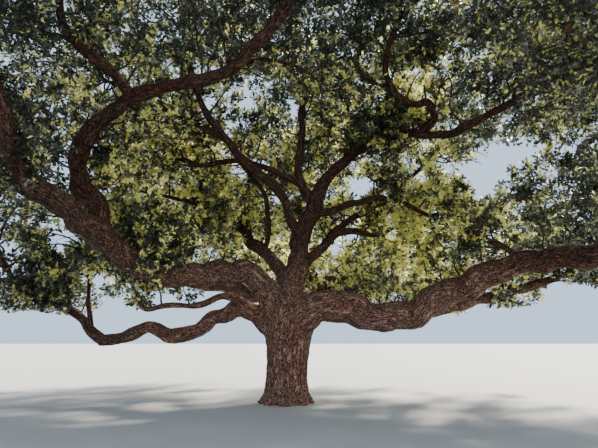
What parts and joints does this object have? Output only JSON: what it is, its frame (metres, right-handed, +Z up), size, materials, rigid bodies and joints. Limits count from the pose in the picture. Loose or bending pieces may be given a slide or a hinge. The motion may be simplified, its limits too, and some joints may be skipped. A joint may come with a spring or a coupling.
{
  "type": "live oak tree",
  "caption": "Spreading old live oak: a short stout flared trunk, long low sweeping boughs, a forked upright leader and a wide open crown of small leathery leaves.",
  "frame": {"origin": "middle of the flat cut under the trunk, at ground level", "axes": "+Z up the trunk, +X towards the long low right-hand bough, +Y away from the side the tree is seen from"},
  "size_m": [23.1176, 20.1903, 12.9281],
  "materials": {
    "bark": "dry, finely furrowed bark",
    "foliage": "leathery leaves with a soft sheen, on thin brown twigs"
  },
  "bodies": {
    "root": {"trunk": "bark", "leader": "bark", "right_bough": "bark", "left_bough": "bark", "low_left_bough": "bark", "low_left_tip": "bark", "low_left_riser": "bark", "low_left_branch": "bark", "left_front_limb": "bark", "left_side_limb": "bark", "arching_limb_rise": "bark", "arching_limb_span": "bark", "arching_limb_side": "bark", "right_under_bough": "bark", "right_riser": "bark", "right_stub": "bark", "right_spur": "bark", "right_spur_upper": "bark", "right_mid_limb": "bark", "top_right_limb": "bark", "top_centre_limb": "bark", "top_left_limb": "bark", "top_left_fork": "bark", "crossing_limb": "bark", "crooked_limb": "bark", "crooked_hook": "bark", "back_left_limb": "bark", "back_low_limb": "bark", "back_bough": "bark", "back_right_limb": "bark", "right_back_bough": "bark", "back_top_limb": "bark", "low_left_foliage": "foliage", "low_left_riser_foliage": "foliage", "low_left_branch_foliage": "foliage", "left_side_foliage": "foliage", "left_front_foliage": "foliage", "front_left_foliage": "foliage", "front_foliage": "foliage", "front_right_foliage": "foliage", "right_front_foliage": "foliage", "right_foliage": "foliage", "right_stub_foliage": "foliage", "right_mid_foliage": "foliage", "right_spur_foliage": "foliage", "right_upper_foliage": "foliage", "top_right_foliage": "foliage", "top_centre_foliage": "foliage", "top_left_foliage": "foliage", "left_upper_foliage": "foliage", "crooked_foliage": "foliage", "hook_foliage": "foliage", "back_left_foliage": "foliage", "back_low_foliage": "foliage", "back_foliage": "foliage", "back_right_foliage": "foliage", "right_back_foliage": "foliage", "back_top_foliage": "foliage"}
  },
  "joints": []
}
